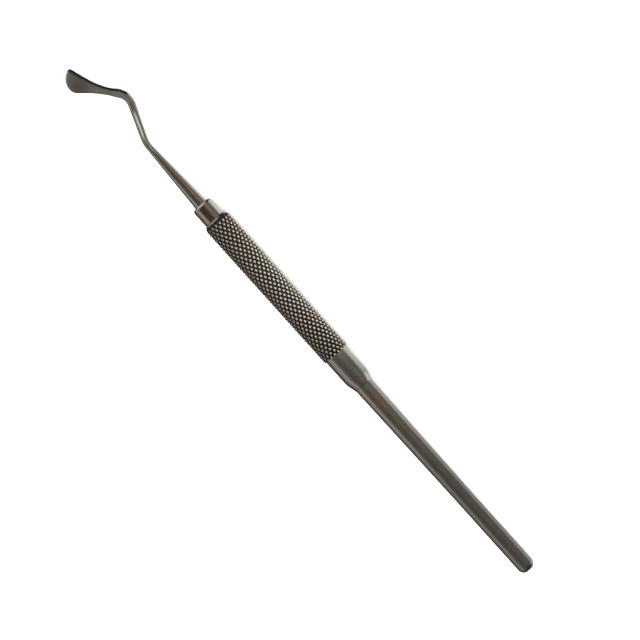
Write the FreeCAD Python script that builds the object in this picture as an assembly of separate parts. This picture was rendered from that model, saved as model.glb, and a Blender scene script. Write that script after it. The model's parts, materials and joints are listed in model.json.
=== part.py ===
import FreeCAD, Part
import math
import os

# Dental elevator: a fan-shaped blade on a twice-bent round shank, set in a turned collar, with a
# knurled grip and a slim tail rod behind it. Millimetres and degrees.
#
# The handle's axis lies along +X, towards the working end. The instrument lies on a flat surface at
# Z = 0, on the knurl's crests and on the outside of the shank's second bend. The origin is under the
# centre of the whole.

# Tail rod
TAIL_LENGTH = 60.65
TAIL_DIAMETER = 4.4
TAIL_FRONT_DIAMETER = 4.9
TAIL_TAPER_LENGTH = 36.0
TAIL_END_ROUNDING = 1.7
TAIL_SPIGOT_DIAMETER = 3.4
TAIL_SPIGOT_LENGTH = 8.0

# Knurled grip
BAND_DIAMETER = 6.35
BAND_LENGTH = 7.5
REAR_TAPER_LENGTH = 2.6
REAR_FACE_DIAMETER = 5.0
REAR_ROUNDING = 5.0
FRONT_CHAMFER_LENGTH = 0.5
FRONT_FACE_DIAMETER = 5.9
KNURL_DIAMETER = 7.2
KNURL_DEPTH = 0.4
KNURL_STARTS = 18
KNURL_PITCH = 1.82
KNURL_REPEATS = 24
KNURL_FRONT_STEP = 0.1

# Front collar
COLLAR_DIAMETER = 5.5
COLLAR_LENGTH = 5.0
COLLAR_FRONT_CHAMFER = 0.45
COLLAR_REAR_CHAMFER = 0.15
COLLAR_SPIGOT_DIAMETER = 4.0
COLLAR_SPIGOT_LENGTH = 8.0

# Shank
TANG_DIAMETER = 2.4
TANG_LENGTH = 12.0
SHANK_BASE_DIAMETER = 3.52
SHANK_SLIM_DIAMETER = 1.73
SHANK_BEND_DIAMETER = 1.95
FIRST_BEND_DISTANCE = 20.1
FIRST_BEND_ANGLE = 22.3
FIRST_BEND_RADIUS = 7.2
SECOND_BEND_DISTANCE = 12.5
SECOND_BEND_ANGLE = 60.7
SECOND_BEND_RADIUS = 4.1

# Blade
BLADE_LENGTH = 15.85
BLADE_ROOT_WIDTH = 2.15
BLADE_SWEEP_RADIUS = 103.0
NECK_LENGTH = 4.1
NECK_WIDTH = 1.82
NECK_THICKNESS = 1.25
FLARE_RADIUS = 22.2
FLARE_ANGLE = 14.9
END_RADIUS = 4.08
END_SKEW = 1.53
END_THICKNESS = 0.6
END_BEVEL_ANGLE = 30.0
END_LAND = 0.16
BLADE_SQUARENESS = 5.0
FLAT_START_LENGTH = 3.0
UPPER_SIDE_SLANT = 0.38

# Fits
BRAZE_GAP = 0.02
BORE_END_GAP = 0.5

# Fineness of the blade and shank surface
SECTION_SPACING = 0.8
SECTION_POINTS = 24

Vector = FreeCAD.Vector
AXIS = Vector(1, 0, 0)

# Places along the handle's axis, from the tail's rear end
GRIP_REAR = TAIL_LENGTH
BAND_REAR = GRIP_REAR + REAR_TAPER_LENGTH
KNURL_REAR = BAND_REAR + BAND_LENGTH
KNURL_LENGTH = KNURL_REPEATS * KNURL_PITCH
KNURL_FRONT = KNURL_REAR + KNURL_LENGTH
GRIP_FRONT = KNURL_FRONT + FRONT_CHAMFER_LENGTH
COLLAR_FRONT = GRIP_FRONT + COLLAR_LENGTH

# Two crest lines straddle the lowest line of the knurl, so the grip rests on both
CREST_STEP = math.pi / KNURL_STARTS
AXIS_HEIGHT = KNURL_DIAMETER / 2 * math.cos(CREST_STEP / 2)


def turned(outline):
    """A solid of revolution about the handle's axis, from (x, radius) points."""
    points = [Vector(x, radius, 0) for x, radius in outline]
    face = Part.Face(Part.makePolygon(points + points[:1]))
    return face.revolve(Vector(0, 0, 0), AXIS, 360)


def rod(start, length, diameter):
    """A plain cylinder on the handle's axis."""
    return Part.makeCylinder(diameter / 2, length, Vector(start, 0, 0), AXIS)


def edges_at(shape, x, radius):
    """The circular edges of a turned shape at one place along the axis and one radius."""
    found = []
    for edge in shape.Edges:
        curve = edge.Curve
        if isinstance(curve, Part.Circle) and abs(curve.Center.x - x) < 1e-6:
            if abs(curve.Radius - radius) < 1e-6:
                found.append(edge)
    return found


def tail_rod():
    """Slim rod: cylinder, slow taper up to the grip, rounded rear end, spigot in front."""
    rear_radius = TAIL_DIAMETER / 2
    body = turned([
        (0, 0),
        (0, rear_radius),
        (TAIL_LENGTH - TAIL_TAPER_LENGTH, rear_radius),
        (TAIL_LENGTH, TAIL_FRONT_DIAMETER / 2),
        (TAIL_LENGTH, 0),
    ])
    body = body.makeFillet(TAIL_END_ROUNDING, edges_at(body, 0, rear_radius))
    return body.fuse(rod(GRIP_REAR, TAIL_SPIGOT_LENGTH, TAIL_SPIGOT_DIAMETER))


def knurl():
    """The diamond knurl as one solid: a pyramid on each diamond, with V grooves between them.

    Rows of points stand half a pitch apart. Along a row, crests and groove crossings take turns, and
    the next row starts with the other one. The last row, in front, keeps one radius all round.
    """
    crest = KNURL_DIAMETER / 2
    front_radius = BAND_DIAMETER / 2 + KNURL_FRONT_STEP
    rows = 2 * KNURL_REPEATS
    around = 2 * KNURL_STARTS

    def point(row, column):
        if row == rows:
            radius = front_radius
        elif (row + column) % 2:
            radius = crest - KNURL_DEPTH
        else:
            radius = crest
        angle = (column + 0.5) * CREST_STEP
        x = KNURL_REAR + row * KNURL_PITCH / 2
        return Vector(x, radius * math.sin(angle), -radius * math.cos(angle))

    faces = []
    for row in range(rows):
        for column in range(around):
            near, far = point(row, column), point(row + 1, column + 1)
            side, end = point(row, column + 1), point(row + 1, column)
            if (row + column) % 2:
                near, far, side, end = side, end, near, far
            for tip in (near, far):
                faces.append(Part.Face(Part.makePolygon([tip, side, end, tip])))
    for row in (0, rows):
        ring = [point(row, column) for column in range(around)]
        faces.append(Part.Face(Part.makePolygon(ring + ring[:1])))
    shell = Part.makeShell(faces)
    shell.sewShape()
    return Part.Solid(Part.makeShell(shell.Faces))


def knurled_grip():
    """Knurled bar with a chamfered front, a plain band and a tapered rear, bored at both ends."""
    band_radius = BAND_DIAMETER / 2
    rear = turned([
        (GRIP_REAR, 0),
        (GRIP_REAR, REAR_FACE_DIAMETER / 2),
        (BAND_REAR, band_radius),
        (KNURL_REAR, band_radius),
        (KNURL_REAR, 0),
    ])
    rear = rear.makeFillet(REAR_ROUNDING, edges_at(rear, BAND_REAR, band_radius))
    front = turned([
        (KNURL_FRONT, 0),
        (KNURL_FRONT, band_radius),
        (GRIP_FRONT, FRONT_FACE_DIAMETER / 2),
        (GRIP_FRONT, 0),
    ])
    bar = knurl().fuse([rear, front])
    rear_bore = rod(GRIP_REAR, TAIL_SPIGOT_LENGTH + BORE_END_GAP, TAIL_SPIGOT_DIAMETER + 2 * BRAZE_GAP)
    depth = max(COLLAR_SPIGOT_LENGTH, TANG_LENGTH - COLLAR_LENGTH) + BORE_END_GAP
    front_bore = rod(GRIP_FRONT - depth, depth, COLLAR_SPIGOT_DIAMETER + 2 * BRAZE_GAP)
    return bar.cut([rear_bore, front_bore])


def front_collar():
    """Ferrule: chamfered collar, spigot behind it, bored through for the tang."""
    radius = COLLAR_DIAMETER / 2
    body = turned([
        (GRIP_FRONT, 0),
        (GRIP_FRONT, radius - COLLAR_REAR_CHAMFER),
        (GRIP_FRONT + COLLAR_REAR_CHAMFER, radius),
        (COLLAR_FRONT - COLLAR_FRONT_CHAMFER, radius),
        (COLLAR_FRONT, radius - COLLAR_FRONT_CHAMFER),
        (COLLAR_FRONT, 0),
    ])
    length = COLLAR_SPIGOT_LENGTH + COLLAR_LENGTH
    spigot = rod(GRIP_FRONT - COLLAR_SPIGOT_LENGTH, COLLAR_SPIGOT_LENGTH, COLLAR_SPIGOT_DIAMETER)
    bore = rod(GRIP_FRONT - COLLAR_SPIGOT_LENGTH, length, TANG_DIAMETER + 2 * BRAZE_GAP)
    return body.fuse(spigot).cut(bore)


def centre_line():
    """The shank and blade's centre line from the collar outwards, as (length, curvature) pieces."""
    first_turn = math.radians(FIRST_BEND_ANGLE)
    second_turn = math.radians(SECOND_BEND_ANGLE)
    first_tangent = FIRST_BEND_RADIUS * math.tan(first_turn / 2)
    second_tangent = SECOND_BEND_RADIUS * math.tan(second_turn / 2)
    return [
        (FIRST_BEND_DISTANCE - first_tangent, 0),
        (FIRST_BEND_RADIUS * first_turn, 1 / FIRST_BEND_RADIUS),
        (SECOND_BEND_DISTANCE - first_tangent - second_tangent, 0),
        (SECOND_BEND_RADIUS * second_turn, -1 / SECOND_BEND_RADIUS),
        (BLADE_LENGTH - second_tangent + END_RADIUS, 1 / BLADE_SWEEP_RADIUS),
    ]


def marks():
    """Distances along the centre line: first bend's start, second bend's start, its end, its corner."""
    lengths = [length for length, _ in centre_line()]
    bend_start = sum(lengths[:3])
    corner = bend_start + SECOND_BEND_RADIUS * math.tan(math.radians(SECOND_BEND_ANGLE / 2))
    return lengths[0], bend_start, sum(lengths[:4]), corner


def along(distance):
    """Place and heading on the centre line: x from the collar's face, offset from the axis, angle."""
    x, offset, heading = 0.0, 0.0, 0.0
    for length, curvature in centre_line():
        run = min(distance, length)
        turn = curvature * run
        if curvature:
            x += (math.sin(heading + turn) - math.sin(heading)) / curvature
            offset += (math.cos(heading) - math.cos(heading + turn)) / curvature
        else:
            x += run * math.cos(heading)
            offset += run * math.sin(heading)
        heading += turn
        distance -= run
    return x, offset, heading


def flare(run):
    """Half the blade's gain in width at a distance past the neck: an arc, then its tangent."""
    angle = math.radians(FLARE_ANGLE)
    arc_run = FLARE_RADIUS * math.sin(angle)
    bend = min(max(run, 0), arc_run)
    straight = max(run - arc_run, 0)
    return FLARE_RADIUS - math.sqrt(FLARE_RADIUS ** 2 - bend ** 2) + straight * math.tan(angle)


def blend(low, high, share):
    """Between two values, with a smooth start and end as the share goes from 0 to 1."""
    share = min(max(share, 0), 1)
    return low + (high - low) * share * share * (3 - 2 * share)


def section_size(distance):
    """Half width, half thickness and flatness (0 is round, 1 the blade's shape) of one section."""
    slim_start, bend_start, bend_end, corner = marks()
    bend_middle = (bend_start + bend_end) / 2
    neck = corner + NECK_LENGTH
    tip = corner + BLADE_LENGTH
    if distance < slim_start:
        share = distance / slim_start
        radius = (SHANK_BASE_DIAMETER + (SHANK_SLIM_DIAMETER - SHANK_BASE_DIAMETER) * share) / 2
        return radius, radius, 0
    if distance < bend_start:
        share = (distance - slim_start) / (bend_start - slim_start)
        radius = (SHANK_SLIM_DIAMETER + (SHANK_BEND_DIAMETER - SHANK_SLIM_DIAMETER) * share * share) / 2
        return radius, radius, 0
    bend_share = (distance - bend_start) / (bend_end - bend_start)
    neck_share = (distance - bend_end) / (neck - bend_end)
    width = blend(SHANK_BEND_DIAMETER, BLADE_ROOT_WIDTH, bend_share)
    width += blend(0, NECK_WIDTH - BLADE_ROOT_WIDTH, neck_share)
    thickness = blend(SHANK_BEND_DIAMETER, NECK_THICKNESS, (distance - bend_middle) / (neck - bend_middle))
    if distance > neck:
        reach = (distance - neck) / (tip - neck)
        thickness = NECK_THICKNESS + (END_THICKNESS - NECK_THICKNESS) * reach
    flatness = blend(0, 1, (distance - bend_middle) / FLAT_START_LENGTH)
    return width / 2 + flare(distance - neck), thickness / 2, flatness


def section(distance):
    """A closed smooth curve round the centre line: round in the shank, flat in the blade.

    The blade's upper side slants: it is drawn in towards the face, and keeps its place at the back.
    """
    x, offset, heading = along(distance)
    half_width, half_thickness, flatness = section_size(distance)
    squareness = 2 + (BLADE_SQUARENESS - 2) * flatness
    centre = Vector(COLLAR_FRONT + x, -offset, 0)
    across = Vector(-math.sin(heading), -math.cos(heading), 0)
    up = Vector(0, 0, 1)
    # A curve of this kind runs just inside its poles, by this share on a circle
    swell = 3 / (2 + math.cos(2 * math.pi / SECTION_POINTS))
    poles = []
    for step in range(SECTION_POINTS):
        angle = 2 * math.pi * step / SECTION_POINTS
        cosine, sine = math.cos(angle), math.sin(angle)
        width = math.copysign(abs(cosine) ** (2 / squareness), cosine)
        height = math.copysign(abs(sine) ** (2 / squareness), sine)
        slant = UPPER_SIDE_SLANT * flatness * (1 + width) * (1 + height) / 4
        place = centre + across * (width * half_width * swell - slant)
        poles.append(place + up * (height * half_thickness * swell))
    curve = Part.BSplineCurve()
    knots = list(range(SECTION_POINTS + 1))
    curve.buildFromPolesMultsKnots(poles, [1] * len(knots), knots, True, 3)
    return Part.Wire(curve.toShape())


def end_outline():
    """The space inside the blade's rounded, bevelled end: a bevelled disc and all that is behind it."""
    corner = marks()[3]
    x, offset, heading = along(corner + BLADE_LENGTH - END_RADIUS)
    ahead = Vector(math.cos(heading), -math.sin(heading), 0)
    across = Vector(-math.sin(heading), -math.cos(heading), 0)
    centre = Vector(COLLAR_FRONT + x, -offset, 0) + across * END_SKEW
    land = END_LAND / 2
    height = NECK_THICKNESS
    inner = END_RADIUS - (height - land) / math.tan(math.radians(END_BEVEL_ANGLE))
    points = [(0, -height), (inner, -height), (END_RADIUS, -land), (END_RADIUS, land)]
    points += [(inner, height), (0, height)]
    rim = [centre + ahead * radius + Vector(0, 0, z) for radius, z in points]
    disc = Part.Face(Part.makePolygon(rim + rim[:1])).revolve(centre, Vector(0, 0, 1), 360)
    reach = 2 * (FIRST_BEND_DISTANCE + SECOND_BEND_DISTANCE + BLADE_LENGTH)
    box = Part.makeBox(reach, 2 * reach, 2 * reach, Vector(-reach, -reach, -reach))
    box.Placement = FreeCAD.Placement(centre, FreeCAD.Rotation(Vector(1, 0, 0), ahead))
    return disc.fuse(box)


def working_end():
    """Blade, bends and shank as one smooth body, with the tang behind it."""
    total = sum(length for length, _ in centre_line())
    count = math.ceil(total / SECTION_SPACING)
    sections = [section(total * step / count) for step in range(count + 1)]
    body = Part.makeLoft(sections, True, False)
    body = body.common(end_outline())
    return body.fuse(rod(COLLAR_FRONT - TANG_LENGTH, TANG_LENGTH, TANG_DIAMETER))


def resting_roll():
    """Roll of the working end about the handle's axis that puts the second bend on the surface."""
    bend_start = marks()[1]
    first_turn = math.radians(FIRST_BEND_ANGLE)
    _, offset, _ = along(bend_start + SECOND_BEND_RADIUS * first_turn)
    return math.degrees(math.asin((AXIS_HEIGHT - SHANK_BEND_DIAMETER / 2) / offset))


def main():
    blade = working_end()
    blade.rotate(Vector(0, 0, 0), AXIS, resting_roll())
    pieces = {
        "working_end": blade,
        "front_collar": front_collar(),
        "knurled_grip": knurled_grip(),
        "tail_rod": tail_rod(),
    }
    box = Part.makeCompound(list(pieces.values())).optimalBoundingBox(False)
    shift = Vector(-box.Center.x, -box.Center.y, AXIS_HEIGHT)
    os.makedirs("parts", exist_ok=True)
    for name, shape in pieces.items():
        shape.translate(shift)
        shape.exportStep(f"parts/{name}.step")
        print(name, shape.ShapeType, len(shape.Solids), round(shape.Volume, 2), shape.isValid())
    print("tail end", round(shift.x, 4), round(shift.y, 4), round(shift.z, 4))


main()
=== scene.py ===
# %% [markdown]
# # A dental elevator, from bar stock to studio light
#
# The instrument is a slim hand tool made of four steel pieces: a flat, fan-shaped blade on a bent
# shank, a bright collar, a knurled grip and a plain tail. The CAD model says where each piece is. This
# lesson builds the skins that are looked at, gives them their finishes, and lights them.

# %% Load the frame
import json
import math

import bmesh
import bpy
from mathutils import Matrix, Vector


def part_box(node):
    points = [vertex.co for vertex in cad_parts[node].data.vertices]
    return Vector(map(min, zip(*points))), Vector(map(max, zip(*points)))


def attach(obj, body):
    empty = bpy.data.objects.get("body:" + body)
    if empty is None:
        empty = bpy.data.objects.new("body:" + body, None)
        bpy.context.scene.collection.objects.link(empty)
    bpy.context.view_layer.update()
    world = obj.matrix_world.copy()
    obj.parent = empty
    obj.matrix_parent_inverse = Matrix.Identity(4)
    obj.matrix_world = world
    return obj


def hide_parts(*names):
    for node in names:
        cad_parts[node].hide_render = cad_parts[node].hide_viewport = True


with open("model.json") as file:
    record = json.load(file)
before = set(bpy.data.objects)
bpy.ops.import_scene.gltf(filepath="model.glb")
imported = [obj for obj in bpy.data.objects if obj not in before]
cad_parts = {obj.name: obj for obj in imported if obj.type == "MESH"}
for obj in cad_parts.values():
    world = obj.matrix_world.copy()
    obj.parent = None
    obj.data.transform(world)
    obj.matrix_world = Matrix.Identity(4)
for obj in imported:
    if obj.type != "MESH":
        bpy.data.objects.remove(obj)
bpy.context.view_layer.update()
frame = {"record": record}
MM = 0.001

# %% [markdown]
# The handle is turned about one straight axis. A mount in the record lies on that axis, so it gives the
# axis exactly, and the boxes of the CAD nodes say where each turned piece starts and ends along it.

# %% The handle's axis and the places along it
mounts = {mount["name"]: mount for mount in frame["record"]["mounts"]}
AXIS_POINT = Vector((0, *mounts["tail_shaft"]["pos_m"][1:]))
AXIS = Vector((1, 0, 0))
AXIS_HEIGHT = AXIS_POINT.z
TAIL_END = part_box("tail_rod")[0].x
TAIL_SPIGOT_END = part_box("tail_rod")[1].x
GRIP_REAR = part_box("knurled_grip")[0].x
GRIP_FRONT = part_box("knurled_grip")[1].x
COLLAR_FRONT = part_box("front_collar")[1].x
SPIGOT_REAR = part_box("front_collar")[0].x
TANG_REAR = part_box("working_end")[0].x
print("grip from", round(GRIP_REAR / MM, 2), "to", round(GRIP_FRONT / MM, 2), "mm")

# %% [markdown]
# ## Turning a piece
#
# A lathe makes a shape by spinning a bar against a tool. The same idea models it: draw half of the
# outline as a chain of edges and spin the chain about the axis. Corners on real turned work are never
# razor sharp, so each corner then gets a small bevel. It catches a thin line of light.

# %% Helpers for turned work
TURN_STEPS = 96
SAME_SPOT = 0.001 * MM
SAME_RING = 0.01 * MM


def outline_chain(bm, outline):
    """Edges through (x, radius) points, drawn above the handle's axis."""
    points = [AXIS_POINT + Vector((x, 0, radius)) for x, radius in outline]
    verts = [bm.verts.new(point) for point in points]
    edges = [bm.edges.new(pair) for pair in zip(verts, verts[1:])]
    return verts + edges


def spun(outline):
    """A closed skin: the outline spun a full turn, with its ends on the axis."""
    bm = bmesh.new()
    chain = outline_chain(bm, outline)
    bmesh.ops.spin(bm, geom=chain, cent=AXIS_POINT, axis=AXIS, angle=math.tau,
                   steps=TURN_STEPS, use_merge=True)
    bmesh.ops.remove_doubles(bm, verts=bm.verts, dist=SAME_SPOT)
    bmesh.ops.recalc_face_normals(bm, faces=bm.faces)
    return bm


def axis_distance(point):
    """How far a point is from the handle's axis."""
    return (point - AXIS_POINT).cross(AXIS).length


def ring_edges(bm, x, radius):
    """The edges of one ring round the axis."""
    def on_ring(vert):
        near = abs(vert.co.x - x) < SAME_RING
        return near and abs(axis_distance(vert.co) - radius) < SAME_RING
    return [edge for edge in bm.edges if all(on_ring(vert) for vert in edge.verts)]


def soften(bm, edges, offset, segments):
    """Rounds edges off."""
    bmesh.ops.bevel(bm, geom=edges, offset=offset, offset_type="OFFSET", affect="EDGES",
                    segments=segments, profile=0.5, material=-1, clamp_overlap=True)


print("a turned piece has", TURN_STEPS, "sides")

# %% [markdown]
# Every finished skin goes through the same last steps. Its faces are shaded smooth, so that the flat
# sides of the mesh don't show, but an edge that turns sharply stays sharp, as it is on the steel. Then
# the skin takes the place of a CAD node, which is hidden.

# %% From a skin to a piece
SHARP_ANGLE = math.radians(38)


def piece(bm, name, node):
    """Turns a finished skin into an object that stands for a CAD node."""
    bmesh.ops.recalc_face_normals(bm, faces=bm.faces)
    for face in bm.faces:
        face.smooth = True
    for edge in bm.edges:
        edge.smooth = len(edge.link_faces) == 2 and edge.calc_face_angle() < SHARP_ANGLE
    mesh = bpy.data.meshes.new(name)
    bm.to_mesh(mesh)
    bm.free()
    skin = bpy.data.objects.new(name, mesh)
    bpy.context.scene.collection.objects.link(skin)
    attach(skin, "root")
    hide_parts(node)
    triangles = sum(len(polygon.vertices) - 2 for polygon in mesh.polygons)
    print(name, "has", triangles, "triangles")
    return skin


print("edges over", round(math.degrees(SHARP_ANGLE)), "degrees stay sharp")

# %% [markdown]
# ## The tail rod
#
# The tail is a slim rod with a rounded end. It is a plain cylinder for its last stretch and then grows
# very slowly towards the grip. Behind the grip's rear face it narrows to a spigot, which is hidden in
# the grip's bore. Only the two visible ends need care: the dome, made as a wide bevel, and the slow
# taper, which needs no more than one edge along the outline.

# %% Tail rod
TAIL_RADIUS = 2.2 * MM
TAIL_FRONT_RADIUS = 2.45 * MM
TAIL_TAPER_LENGTH = 36 * MM
TAIL_ROUNDING = 1.7 * MM
TAIL_ROUNDING_SEGMENTS = 10
SPIGOT_RADIUS = 1.7 * MM
SMALL_BEVEL = 0.06 * MM
SMALL_BEVEL_SEGMENTS = 2

tail = spun([
    (TAIL_END, 0),
    (TAIL_END, TAIL_RADIUS),
    (GRIP_REAR - TAIL_TAPER_LENGTH, TAIL_RADIUS),
    (GRIP_REAR, TAIL_FRONT_RADIUS),
    (GRIP_REAR, SPIGOT_RADIUS),
    (TAIL_SPIGOT_END, SPIGOT_RADIUS),
    (TAIL_SPIGOT_END, 0),
])
soften(tail, ring_edges(tail, TAIL_END, TAIL_RADIUS), TAIL_ROUNDING, TAIL_ROUNDING_SEGMENTS)
soften(tail, ring_edges(tail, TAIL_SPIGOT_END, SPIGOT_RADIUS), SMALL_BEVEL, SMALL_BEVEL_SEGMENTS)
tail_rod = piece(tail, "tail_rod_skin", "tail_rod")

# %% [markdown]
# ## The front collar
#
# A short bright ferrule holds the shank. Its front edge has a broad chamfer that shows as a pale band,
# and its rear edge a tiny one. The bore and the long rear spigot are hidden, but the piece is modelled
# with them, so that the mesh is the real part and not a shell.

# %% Front collar
COLLAR_RADIUS = 2.75 * MM
COLLAR_FRONT_CHAMFER = 0.45 * MM
COLLAR_FRONT_ROUNDING = 0.28 * MM
COLLAR_ROUNDING_SEGMENTS = 6
COLLAR_REAR_CHAMFER = 0.15 * MM
COLLAR_SPIGOT_RADIUS = 2.0 * MM
COLLAR_BORE_RADIUS = 1.22 * MM

collar_outline = [
    (SPIGOT_REAR, COLLAR_BORE_RADIUS),
    (SPIGOT_REAR, COLLAR_SPIGOT_RADIUS),
    (GRIP_FRONT, COLLAR_SPIGOT_RADIUS),
    (GRIP_FRONT, COLLAR_RADIUS - COLLAR_REAR_CHAMFER),
    (GRIP_FRONT + COLLAR_REAR_CHAMFER, COLLAR_RADIUS),
    (COLLAR_FRONT - COLLAR_FRONT_CHAMFER, COLLAR_RADIUS),
    (COLLAR_FRONT, COLLAR_RADIUS - COLLAR_FRONT_CHAMFER),
    (COLLAR_FRONT, COLLAR_BORE_RADIUS),
]
collar = spun(collar_outline + collar_outline[:1])
chamfer_start, chamfer_end = collar_outline[5:7]
soften(collar, ring_edges(collar, *chamfer_start) + ring_edges(collar, *chamfer_end),
       COLLAR_FRONT_ROUNDING, COLLAR_ROUNDING_SEGMENTS)
front_collar = piece(collar, "front_collar_skin", "front_collar")

# %% [markdown]
# ## The knurled grip
#
# A diamond knurl is two families of V grooves, pressed into the bar as left-hand and right-hand helices.
# What they leave standing is a lattice of small domed pyramids. One pyramid is enough to model: it is
# a grid whose edges run along the grooves, raised in the middle and rolled onto the bar. Spinning copies
# of it makes a ring, and the ring is repeated along the bar, turned by half a step each time. A bump
# texture would be quicker, but the outline of the grip would stay smooth, and the outline shows teeth.

# %% One pyramid of the knurl
KNURL_RADIUS = 3.6 * MM
KNURL_DEPTH = 0.4 * MM
KNURL_STARTS = 18
KNURL_PITCH = 1.82 * MM
KNURL_REPEATS = 24
CELL_SEGMENTS = 6
BAND_RADIUS = 3.175 * MM
BAND_LENGTH = 7.5 * MM
REAR_TAPER_LENGTH = 2.6 * MM
BAND_REAR = GRIP_REAR + REAR_TAPER_LENGTH
KNURL_REAR = BAND_REAR + BAND_LENGTH
KNURL_FRONT = KNURL_REAR + KNURL_REPEATS * KNURL_PITCH
CREST_STEP = math.pi / KNURL_STARTS


def dome(share):
    """Height of a flank, from 1 on the crest's middle line to 0 in the groove."""
    return 1 - share * share


def knurl_cell(bm):
    """One pyramid at the knurl's rear end, on a crest line just off the top of the bar."""
    made = bmesh.ops.create_grid(bm, x_segments=CELL_SEGMENTS, y_segments=CELL_SEGMENTS, size=1)
    for vert in made["verts"]:
        along, across = vert.co.x, vert.co.y
        radius = KNURL_RADIUS - KNURL_DEPTH * (1 - dome(along) * dome(across))
        angle = (along - across - 1) / 2 * CREST_STEP
        x = KNURL_REAR + (along + across) / 2 * KNURL_PITCH / 2
        vert.co = AXIS_POINT + Vector((x, radius * math.sin(angle), radius * math.cos(angle)))


grip = bmesh.new()
knurl_cell(grip)
print("one pyramid has", len(grip.faces), "faces")

# %% [markdown]
# Neighbouring rings of pyramids are staggered like bricks, so two rings make one repeat of the pattern:
# the second is the first, turned by half a step and moved by half a pitch. The repeat is copied along
# the bar until the lattice reaches past both ends, and points that meet are merged. Cutting real grooves
# with Boolean modifiers would take far longer and leave uneven faces.

# %% Rings of pyramids, and rings along the bar
SEAM_REACH = 0.002 * MM
bmesh.ops.spin(grip, geom=grip.verts[:] + grip.edges[:] + grip.faces[:], cent=AXIS_POINT, axis=AXIS,
               angle=math.tau * (1 - 1 / KNURL_STARTS), steps=KNURL_STARTS - 1, use_duplicate=True)
stagger = Matrix.Rotation(CREST_STEP, 4, AXIS)
ring = grip.verts[:] + grip.edges[:] + grip.faces[:]
second = bmesh.ops.duplicate(grip, geom=ring)["geom"]
second_verts = [item for item in second if isinstance(item, bmesh.types.BMVert)]
bmesh.ops.rotate(grip, verts=second_verts, cent=AXIS_POINT, matrix=stagger)
bmesh.ops.translate(grip, verts=second_verts, vec=AXIS * KNURL_PITCH / 2)
pair = grip.verts[:] + grip.edges[:] + grip.faces[:]
for repeat in range(1, KNURL_REPEATS + 1):
    copy = bmesh.ops.duplicate(grip, geom=pair)["geom"]
    copy_verts = [item for item in copy if isinstance(item, bmesh.types.BMVert)]
    bmesh.ops.translate(grip, verts=copy_verts, vec=AXIS * KNURL_PITCH * repeat)
bmesh.ops.remove_doubles(grip, verts=grip.verts, dist=SEAM_REACH)
print("the knurl has", len(grip.faces), "faces")

# %% [markdown]
# The lattice runs a little past both ends, so a flat cut squares it off, through the pyramids, as the
# facing tool does. At the front the last half pitch is also turned down, nearly to the height of the
# chamfer. At the rear the cut pyramids keep their full height.

# %% Square the ends
CUT_REACH = 0.0001 * MM
KNURL_FRONT_RADIUS = 3.275 * MM

for end, outward in ((KNURL_REAR, -1), (KNURL_FRONT, 1)):
    bmesh.ops.bisect_plane(grip, geom=grip.verts[:] + grip.edges[:] + grip.faces[:], dist=CUT_REACH,
                           plane_co=(end, 0, 0), plane_no=(outward, 0, 0), clear_outer=True)

for vert in grip.verts:
    depth = (KNURL_FRONT - vert.co.x) / (KNURL_PITCH / 2)
    limit = KNURL_FRONT_RADIUS + (KNURL_RADIUS - KNURL_FRONT_RADIUS) * min(depth, 1)
    if axis_distance(vert.co) > limit:
        direction = vert.co - AXIS_POINT
        direction.x = 0
        vert.co -= direction.normalized() * (axis_distance(vert.co) - limit)
print("after the cuts the knurl has", len(grip.faces), "faces")

# %% [markdown]
# From each cut edge the rest of the bar is pulled out ring by ring: the step down, the plain band, the
# tapered rear, and the bore that takes the spigot. Extruding the open edge keeps the whole bar one
# closed skin, which separate cylinders wouldn't be.

# %% Pull out the rest of the bar
def open_edges(bm, x):
    """The open edges of a skin at one place along the axis."""
    edges = [edge for edge in bm.edges if edge.is_boundary]
    return [edge for edge in edges if all(abs(vert.co.x - x) < SAME_SPOT for vert in edge.verts)]


def pull_out(bm, start, outline):
    """Extends an open end through rings at (x, radius), and closes the last one."""
    edges = open_edges(bm, start)
    for x, radius in outline:
        made = bmesh.ops.extrude_edge_only(bm, edges=edges)["geom"]
        for vert in [item for item in made if isinstance(item, bmesh.types.BMVert)]:
            direction = vert.co - AXIS_POINT
            direction.x = 0
            vert.co = AXIS_POINT + AXIS * x + direction.normalized() * radius
        edges = [item for item in made if isinstance(item, bmesh.types.BMEdge) and item.is_boundary]
    bmesh.ops.contextual_create(bm, geom=edges)


REAR_FACE_RADIUS = 2.5 * MM
REAR_ROUNDING = 0.64 * MM
REAR_ROUNDING_SEGMENTS = 8
REAR_BORE_RADIUS = 1.72 * MM
FRONT_FACE_RADIUS = 2.95 * MM
FRONT_BORE_RADIUS = 2.02 * MM
BORE_LENGTH = 8.5 * MM

pull_out(grip, KNURL_REAR, [
    (KNURL_REAR, BAND_RADIUS),
    (BAND_REAR, BAND_RADIUS),
    (GRIP_REAR, REAR_FACE_RADIUS),
    (GRIP_REAR, REAR_BORE_RADIUS),
    (GRIP_REAR + BORE_LENGTH, REAR_BORE_RADIUS),
])
pull_out(grip, KNURL_FRONT, [
    (KNURL_FRONT, BAND_RADIUS),
    (GRIP_FRONT, FRONT_FACE_RADIUS),
    (GRIP_FRONT, FRONT_BORE_RADIUS),
    (GRIP_FRONT - BORE_LENGTH, FRONT_BORE_RADIUS),
])
soften(grip, ring_edges(grip, BAND_REAR, BAND_RADIUS), REAR_ROUNDING, REAR_ROUNDING_SEGMENTS)
for end, radius in ((GRIP_REAR, REAR_FACE_RADIUS), (GRIP_FRONT, FRONT_FACE_RADIUS)):
    soften(grip, ring_edges(grip, end, radius), SMALL_BEVEL, SMALL_BEVEL_SEGMENTS)
knurled_grip = piece(grip, "knurled_grip_skin", "knurled_grip")

# %% [markdown]
# ## The working end
#
# Blade, bends and shank are one forging. Its centre line is a chain of straight runs and tangent arcs in
# one plane, and its section changes from round in the shank to flat in the blade. One ring is extruded
# along that line again and again, and each new ring is set to the section it should have there.

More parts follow.
